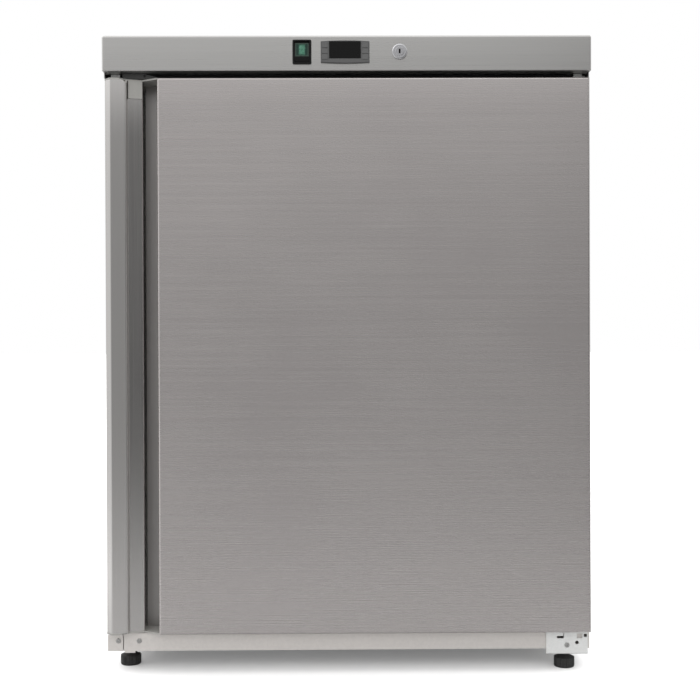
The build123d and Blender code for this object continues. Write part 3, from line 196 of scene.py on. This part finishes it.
def brushed_steel(name, colour, grain, roughness=0.3, streak=0.03, depth=0.000003,
                  roll=None, dull=None, dish=0):
    """Stainless steel brushed along one axis, "X" or "Z", which blurs reflections across it.

    roll is the height where the sheet starts to lean back towards its top edge, dull is the range
    of X in which the brushing turns coarser, and dish is how hollow the sheet is across its width.
    """
    shader = Shader(name, colour, roughness, metallic=1.0)
    across = BRUSH_ACROSS
    scale = (BRUSH_ALONG, across, across) if grain == "X" else (across, across, BRUSH_ALONG)
    fine = shader.noise(scale, detail=4.0, rough=0.7)
    smear = shader.noise((SMEAR_SCALE,) * 3, detail=3.0)
    shader.tint(shader.remap(fine, 0, 1), shade(colour, 1 - streak), shade(colour, 1 + streak))
    marks = shader.remap(fine, roughness - BRUSH_GLOSS, roughness + BRUSH_GLOSS)
    gloss = shader.math("ADD", marks, shader.remap(smear, *SMEAR_GLOSS))
    if dull:
        coarser = shader.remap(shader.position("X"), 0, DULL_GLOSS, *dull)
        gloss = shader.math("ADD", gloss, coarser)
    shader.roughness(gloss)
    height = shader.math("MULTIPLY", fine, depth)
    if roll:
        over = shader.math("MAXIMUM", shader.math("SUBTRACT", shader.position("Z"), roll), 0)
        bow = shader.math("MULTIPLY", shader.math("POWER", over, 2.0), -SHEET_BOW)
        height = shader.math("ADD", height, bow)
    if dish:
        hollow = shader.math("MULTIPLY", shader.math("POWER", shader.position("X"), 2.0), dish)
        height = shader.math("ADD", height, hollow)
    shader.bump(height, 1.0)
    shader.principled.inputs["Anisotropic"].default_value = BRUSH_ANISOTROPY
    tangent = shader.add("ShaderNodeTangent", direction_type="RADIAL", axis=grain)
    shader.link(tangent.outputs["Tangent"], shader.principled.inputs["Tangent"])
    return shader.material


dress(brushed_steel("worktop steel", (0.565, 0.558, 0.546), "X", roll=below_top("worktop", 35)),
      "worktop")
dress(brushed_steel("door steel", (0.60, 0.566, 0.557), "X", roughness=0.26, streak=0.015,
                    roll=below_top("door_skin", 41), dish=0.05),
      "door_skin")
# Left of this range of X is the lip that the fingers pull, and right of it the trough behind it.
TROUGH_START = [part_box("door_handle")[1][0] - inset * MM for inset in (21.5, 20.5)]
dress(brushed_steel("handle steel", (0.60, 0.585, 0.572), "Z", roughness=0.2,
                    roll=below_top("door_handle", 74), dull=TROUGH_START),
      "door_handle")
dress(brushed_steel("side steel", (0.58, 0.572, 0.562), "Z"),
      "side_panel_left", "side_panel_right", "front_frame")


MOTTLE_SCALE = 0.3  # mottle and pitting, per metre, as shares of the spangle's cells per metre
PITTING_SCALE = 2.5
ZINC_GLOSS = 0.08


def zinc_coat(name, colour, cell, roughness, contrast, metallic):
    """Zinc coating: spangle, cell of them to the metre, with a soft mottle over it."""
    shader = Shader(name, colour, roughness, metallic=metallic)
    spangle = shader.cells((cell, cell, cell))
    mottle = shader.noise((cell * MOTTLE_SCALE,) * 3, detail=4.0)
    mixed = shader.math("ADD", shader.math("MULTIPLY", spangle, 0.5),
                        shader.math("MULTIPLY", mottle, 0.5))
    shader.tint(shader.remap(mixed, 0, 1, 0.25, 0.75),
                shade(colour, 1 - contrast), shade(colour, 1 + contrast))
    shader.roughness(shader.remap(mottle, roughness - ZINC_GLOSS, roughness + ZINC_GLOSS))
    shader.bump(shader.noise((cell * PITTING_SCALE,) * 3), 0.00002)
    return shader.material


dress(zinc_coat("base zinc", (0.66, 0.63, 0.605), 320, 0.45, 0.03, 0.6),
      "base_rail_left", "base_rail_right", "plinth_front")
dress(zinc_coat("bracket zinc", (0.76, 0.765, 0.755), 500, 0.42, 0.03, 0.5), "lower_hinge_bracket")
# A darker copy of the zinc: painted shade for the fittings that sit under the fascia overhang.
dress(zinc_coat("shaded fittings zinc", (0.42, 0.42, 0.41), 500, 0.42, 0.05, 0.7),
      "upper_hinge_bracket", "lock_cam", "lock_keeper")
dress(zinc_coat("galvanised sheet", (0.62, 0.64, 0.65), 90, 0.4, 0.12, 0.9),
      "top_rear_panel", "floor_panel", "compressor_tray")


# Near-black painted shade for the lock plug's keyway.
KEYWAY_SHADE = (0.02, 0.02, 0.02)


def polished(name, colour, roughness, slot=None):
    """Bright metal with faint polishing marks. slot is the Y behind which it is painted near-black:
    painted shade in the keyway.
    """
    shader = Shader(name, colour, roughness, metallic=1.0)
    marks = shader.noise((900, 900, 900), detail=5.0)
    base = shader.blend(shader.remap(marks, 0, 1), shade(colour, 0.92), shade(colour, 1.03))
    if slot:
        # Painted shade: behind slot the metal turns near-black, as a shaded keyway would look.
        deep = shader.remap(shader.position("Y"), 0, 1, slot, slot + MM)
        base = shader.blend(deep, base, KEYWAY_SHADE)
    shader.link(base, shader.principled.inputs["Base Color"])
    shader.roughness(shader.remap(shader.noise((60, 60, 60)), roughness - 0.04, roughness + 0.08))
    shader.bump(marks, 0.000005)
    return shader.material


dress(polished("ground steel", (0.5, 0.5, 0.49), 0.25), "hinge_pins", "screws")
dress(polished("lock chrome", (0.66, 0.66, 0.68), 0.18), "lock_barrel")
PLUG_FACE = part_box("lock_plug")[0][1]
dress(polished("lock plug chrome", (0.6, 0.6, 0.62), 0.25, slot=PLUG_FACE + MM), "lock_plug")


def copper():
    shader = Shader("drawn copper", (0.72, 0.38, 0.24), 0.3, metallic=1.0)
    tarnish = shader.noise((18, 18, 18), detail=5.0)
    shader.tint(shader.remap(tarnish, 0, 1), (0.42, 0.19, 0.11), (0.80, 0.45, 0.30))
    shader.roughness(shader.remap(tarnish, 0.22, 0.48))
    shader.bump(shader.noise((700, 700, 700)), 0.00001)
    return shader.material


dress(copper(), "pipework")


# ------------------------------------------------------------------ paint, plastic and rubber
def coated(name, colour, roughness, grain=1200, relief=0.00002, variation=0.12, specular=0.5):
    """Painted or moulded surface: fine texture, slow colour variation and uneven gloss."""
    shader = Shader(name, colour, roughness)
    slow = shader.noise((9, 9, 9), detail=4.0)
    fine = shader.noise((grain, grain, grain), detail=2.0)
    shader.tint(shader.remap(slow, 0, 1), shade(colour, 1 - variation), shade(colour, 1 + variation))
    shader.roughness(shader.remap(slow, roughness - 0.05, roughness + 0.07))
    shader.bump(fine, relief)
    shader.principled.inputs["Specular IOR Level"].default_value = specular
    return shader.material


LENS_CORE = (0.44, 0.74)  # half width and half height of the lit core, as shares of the lens
LENS_RIM = (0.80, 0.90)


def lit_lens():
    """Green lamp lens: a pale rim, a dark field and a ragged lit core, the lamp's glow painted into the
    base colour.
    """
    shader = Shader("lens green", (0.01, 0.03, 0.022), 0.2)
    low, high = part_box("switch_lens")
    across = shader.remap(shader.position("X"), -1, 1, low[0], high[0])
    up = shader.remap(shader.position("Z"), -1, 1, low[2], high[2])
    across = shader.math("ABSOLUTE", across, 0)
    up = shader.math("ABSOLUTE", up, 0)
    rim = shader.remap(shader.math("MAXIMUM", across, up), 0, 1, *LENS_RIM)
    core_edge = shader.math("MAXIMUM", shader.math("DIVIDE", across, LENS_CORE[0]),
                            shader.math("DIVIDE", up, LENS_CORE[1]))
    ragged = shader.remap(shader.noise((900, 900, 900), detail=4.0), -0.25, 0.25)
    core = shader.remap(shader.math("ADD", core_edge, ragged), 1, 0, 0.8, 1.15)
    glow = shader.remap(shader.noise((500, 500, 500)), 0, 1)
    # The lamp's glow, painted into the base colour; nothing here emits light.
    lamp = shader.blend(glow, (0.02, 0.095, 0.057), (0.08, 0.20, 0.14))
    field = shader.blend(core, (0.006, 0.024, 0.017), lamp)
    shader.link(shader.blend(rim, field, (0.028, 0.045, 0.035)), shader.principled.inputs["Base Color"])
    shader.roughness(shader.remap(glow, 0.15, 0.3, 0, 1))
    shader.bump(ragged, 0.00003)
    shader.principled.inputs["Specular IOR Level"].default_value = 0.25
    return shader.material


dress(lit_lens(), "switch_lens")
dress(coated("hinge cover plastic", (0.035, 0.035, 0.034), 0.5), "hinge_cover")
dress(coated("end cap plastic", (0.27, 0.265, 0.25), 0.45), "door_end_caps")
dress(coated("tray black paint", (0.004, 0.004, 0.004), 0.6, specular=0.2), "control_tray")
dress(coated("liner white", (0.6, 0.61, 0.61), 0.35, grain=500, variation=0.015),
      "inner_liner", "door_liner")
dress(coated("foam", (0.75, 0.62, 0.38), 0.9, grain=300, relief=0.0004), "cabinet_foam", "door_foam")
dress(coated("black nylon", (0.03, 0.03, 0.03), 0.5), "door_bushes")
dress(coated("switch black", (0.005, 0.005, 0.005), 0.35, specular=0.25),
      "switch_housing", "switch_rocker")
dress(coated("controller grey", (0.07, 0.07, 0.07), 0.5, relief=0.00004, variation=0.05),
      "controller_housing")
for column in ("left", "right"):
    for row in ("upper", "middle", "lower"):
        dress(coated(f"key grey {column} {row}", (0.08, 0.08, 0.08), 0.5), f"key_{column}_{row}")
dress(coated("smoked window", (0.004, 0.004, 0.004), 0.15, relief=0.000002, specular=0.2),
      "controller_window")
dress(coated("shelf coating", (0.56, 0.57, 0.57), 0.35), "shelf_lower", "shelf_middle", "shelf_upper")
dress(coated("evaporator", (0.5, 0.51, 0.52), 0.4), "evaporator")
dress(coated("fan cover plastic", (0.55, 0.56, 0.56), 0.4, grain=800, variation=0.02), "fan_cover")
dress(coated("fan black", (0.02, 0.02, 0.02), 0.45), "fan_motor", "fan_rotor", "temperature_probe")
dress(coated("compressor paint", (0.01, 0.01, 0.01), 0.3), "compressor")
dress(coated("condenser paint", (0.012, 0.012, 0.012), 0.4), "condenser_tube", "condenser_grid")
dress(coated("black rubber", (0.016, 0.016, 0.016), 0.75), "compressor_grommets")
dress(coated("drip tray plastic", (0.04, 0.04, 0.04), 0.5), "drip_tray")
dress(coated("rear plastic", (0.02, 0.02, 0.02), 0.5), "cable_gland", "rear_spacers")


FOOT_RIBS = 44
RIB_RELIEF = 0.3 * MM


def ribbed_plastic(node):
    """Black moulded knob with fine grip ribs round its axis."""
    low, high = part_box(node)
    shader = Shader(f"{node} plastic", (0.008, 0.008, 0.008), 0.5)
    across = shader.math("SUBTRACT", shader.position("X"), (low[0] + high[0]) / 2)
    deep = shader.math("SUBTRACT", shader.position("Y"), (low[1] + high[1]) / 2)
    turn = shader.math("MULTIPLY", shader.math("ARCTAN2", across, deep), FOOT_RIBS)
    ribs = shader.remap(shader.math("SINE", turn, 0), 0, 1, -1, 1)
    # Rib crests painted lighter, varied by noise: a painted highlight on the ribs.
    rib_sheen = shader.math("MULTIPLY", ribs, shader.noise((400, 400, 400)))
    shader.tint(shader.remap(rib_sheen, 0, 1, 0.1, 0.6), (0.005, 0.005, 0.005), (0.05, 0.05, 0.05))
    shader.roughness(shader.remap(rib_sheen, 0.4, 0.6, 0, 1))
    shader.bump(ribs, RIB_RELIEF)
    return shader.material


for name in NODES:
    if name.startswith("foot_"):
        dress(ribbed_plastic(name), name)


# ------------------------------------------------------------------ door gasket
# The bellows section in millimetres, as (inset from the outer edge, height off the door liner).
GASKET_SECTION = [(0, 0), (0, 1.8), (0.8, 2.5), (5.4, 2.5), (7.2, 4.2), (4.2, 5.6), (3.2, 6.4),
                  (3.2, 9.6), (3.8, 10.2), (14.0, 10.2), (14.6, 9.6), (14.6, 6.4), (13.6, 5.6),
                  (10.8, 4.2), (12.6, 2.5), (17.2, 2.5), (18, 1.8), (18, 0)]
GASKET_EDGE = 0.3 * MM


def mitred_ring(name, section, low, high):
    """A closed section carried round an upright rectangle, with mitred corners."""
    shape = bmesh.new()
    rings = []
    for inset, height in section:
        left, right = low[0] + inset * MM, high[0] - inset * MM
        bottom, top = low[2] + inset * MM, high[2] - inset * MM
        depth = low[1] + height * MM
        corners = ((left, bottom), (right, bottom), (right, top), (left, top))
        rings.append([shape.verts.new((x, depth, z)) for x, z in corners])
    for ring, following in zip(rings, rings[1:] + rings[:1]):
        for index in range(4):
            beside = (index + 1) % 4
            shape.faces.new((ring[index], ring[beside], following[beside], following[index]))
    bmesh.ops.recalc_face_normals(shape, faces=shape.faces)
    mesh = bpy.data.meshes.new(name)
    shape.to_mesh(mesh)
    shape.free()
    piece = bpy.data.objects.new(name, mesh)
    bpy.context.scene.collection.objects.link(piece)
    rounding = piece.modifiers.new("rounded folds", "BEVEL")
    rounding.width = GASKET_EDGE
    rounding.segments = 2
    return piece


gasket = mitred_ring("bellows_gasket", GASKET_SECTION, *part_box("door_gasket"))
gasket.data.materials.append(coated("gasket vinyl", (0.36, 0.365, 0.365), 0.6, grain=900))
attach(gasket, "door")
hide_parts("door_gasket")


# ------------------------------------------------------------------ studio
FLOOR_REACH = 60  # metres each way
FLOOR_WHITE = 0.84
FLOOR_GLOW = 0.14
FLOOR_REFLECTED = 0.42  # grey of the floor in reflections, and below it that of its left part
FLOOR_REFLECTED_LEFT = 0.7
FLOOR_LEFT_BLEND = (-0.9, -0.35)  # metres in X over which one grey turns into the other
FLOOR_FADE = 0.8  # metres over which the floor fades out of the reflections
CAMERA_PLACE = (-0.0105, FASCIA_Y - 1.45, 0.4274)
CAMERA_PITCH = math.radians(-0.228)
CAMERA_YAW = math.radians(-0.516)
CAMERA_ROLL = math.radians(-0.2135)
LENS = 57.47
SENSOR_WIDTH = 36


def add_floor():
    """Pale floor: white to the camera, and in the steel's reflections a grey patch near the object."""
    mesh = bpy.data.meshes.new("floor")
    corners = [(-FLOOR_REACH, -FLOOR_REACH, 0), (FLOOR_REACH, -FLOOR_REACH, 0),
               (FLOOR_REACH, FLOOR_REACH, 0), (-FLOOR_REACH, FLOOR_REACH, 0)]
    mesh.from_pydata(corners, [], [(0, 1, 2, 3)])
    floor = bpy.data.objects.new("floor", mesh)
    bpy.context.scene.collection.objects.link(floor)
    shader = Shader("floor", (FLOOR_WHITE,) * 3, 0.9)
    shader.roughness(shader.remap(shader.noise((2, 2, 2)), 0.85, 0.95))
    shader.principled.inputs["Emission Color"].default_value = (1, 1, 1, 1)
    shader.principled.inputs["Emission Strength"].default_value = FLOOR_GLOW
    grey = shader.remap(shader.position("X"), FLOOR_REFLECTED_LEFT, FLOOR_REFLECTED, *FLOOR_LEFT_BLEND)
    patch = shader.add("ShaderNodeBsdfDiffuse")
    tone = shader.add("ShaderNodeCombineColor")
    for channel in ("Red", "Green", "Blue"):
        shader.link(grey, tone.inputs[channel])
    shader.link(tone.outputs["Color"], patch.inputs["Color"])
    reach_out = shader.add("ShaderNodeVectorMath", operation="LENGTH")
    shader.link(shader.place, reach_out.inputs[0])
    inside = shader.math("SUBTRACT", HALF_DEPTH, reach_out.outputs["Value"])
    fade = shader.math("DIVIDE", inside, FLOOR_FADE)
    near = shader.math("MINIMUM", shader.math("EXPONENT", fade, 0), 1)
    clear = shader.add("ShaderNodeBsdfTransparent")
    reflected = shader.add("ShaderNodeMixShader")
    shader.link(near, reflected.inputs["Fac"])
    shader.link(clear.outputs["BSDF"], reflected.inputs[1])
    shader.link(patch.outputs["BSDF"], reflected.inputs[2])
    seen = shader.add("ShaderNodeMixShader")
    shader.link(shader.add("ShaderNodeLightPath").outputs["Is Camera Ray"], seen.inputs["Fac"])
    shader.link(reflected.outputs["Shader"], seen.inputs[1])
    shader.link(shader.principled.outputs["BSDF"], seen.inputs[2])
    shader.link(seen.outputs["Shader"], shader.tree.nodes["Material Output"].inputs["Surface"])
    mesh.materials.append(shader.material)


def ramp(tree, value, stops):
    """Grey level from a value in 0 to 1, through (position, level) stops."""
    node = tree.nodes.new("ShaderNodeValToRGB")
    node.color_ramp.interpolation = "EASE"
    elements = node.color_ramp.elements
    while len(elements) < len(stops):
        elements.new(0.5)
    for element, (position, level) in zip(elements, stops):
        element.position = position
        element.color = (level, level, level, 1)
    tree.links.new(value, node.inputs["Fac"])
    return node.outputs["Color"]


# Brightness of the studio round the object: by direction from left to right, and by height.
SIDE_LIGHT = [(0.0, 0.85), (0.2, 0.78), (0.35, 0.44), (0.4, 0.385), (0.47, 0.368), (0.55, 0.357),
              (0.6, 0.345), (0.615, 0.22), (0.63, 0.09), (0.66, 0.05), (0.8, 0.08), (0.9, 0.4),
              (1.0, 0.7)]
TOP_LIGHT = [(0.0, 0.0), (0.15, 0.0), (0.22, 0.07), (0.3, 0.27), (0.4, 0.5), (0.6, 0.8),
             (1.0, 1.0)]


def add_world():
    """White backdrop for the camera, and a graded grey studio for everything else."""
    world = bpy.data.worlds.new("studio")
    bpy.context.scene.world = world
    world.use_nodes = True
    tree = world.node_tree
    direction = tree.nodes.new("ShaderNodeTexCoord").outputs["Generated"]
    parts = tree.nodes.new("ShaderNodeSeparateXYZ")
    tree.links.new(direction, parts.inputs["Vector"])
    across = tree.nodes.new("ShaderNodeMapRange")
    across.inputs["From Min"].default_value = -1
    tree.links.new(parts.outputs["X"], across.inputs["Value"])
    total = tree.nodes.new("ShaderNodeMix")
    total.data_type = "RGBA"
    total.blend_type = "ADD"
    total.inputs["Factor"].default_value = 1
    tree.links.new(ramp(tree, across.outputs["Result"], SIDE_LIGHT), total.inputs["A"])
    tree.links.new(ramp(tree, parts.outputs["Z"], TOP_LIGHT), total.inputs["B"])
    studio = tree.nodes["Background"]
    tree.links.new(total.outputs["Result"], studio.inputs["Color"])
    backdrop = tree.nodes.new("ShaderNodeBackground")
    backdrop.inputs["Color"].default_value = (1, 1, 1, 1)
    path = tree.nodes.new("ShaderNodeLightPath")
    mix = tree.nodes.new("ShaderNodeMixShader")
    tree.links.new(path.outputs["Is Camera Ray"], mix.inputs["Fac"])
    tree.links.new(studio.outputs["Background"], mix.inputs[1])
    tree.links.new(backdrop.outputs["Background"], mix.inputs[2])
    tree.links.new(mix.outputs["Shader"], tree.nodes["World Output"].inputs["Surface"])


def add_sun(name, strength, spread, tilt):
    """Soft light, tilted in degrees towards the front, or the back if negative; not mirrored."""
    light = bpy.data.lights.new(name, "SUN")
    light.energy = strength
    light.angle = math.radians(spread)
    lamp = bpy.data.objects.new(name, light)
    lamp.rotation_euler = (math.radians(tilt), 0, 0)
    lamp.visible_glossy = False
    bpy.context.scene.collection.objects.link(lamp)


def add_camera():
    camera = bpy.data.cameras.new("camera")
    camera.sensor_width = SENSOR_WIDTH
    camera.lens = LENS
    eye = bpy.data.objects.new("camera", camera)
    eye.location = CAMERA_PLACE
    eye.rotation_euler = (Matrix.Rotation(CAMERA_YAW, 4, "Z")
                          @ Matrix.Rotation(math.pi / 2 + CAMERA_PITCH, 4, "X")
                          @ Matrix.Rotation(CAMERA_ROLL, 4, "Z")).to_euler()
    bpy.context.scene.collection.objects.link(eye)
    bpy.context.scene.camera = eye


add_floor()
add_world()
add_sun("overhead", strength=3, spread=125, tilt=-38)
add_sun("fill", strength=1.8, spread=60, tilt=75)
add_camera()
bpy.context.scene.view_settings.view_transform = "Standard"
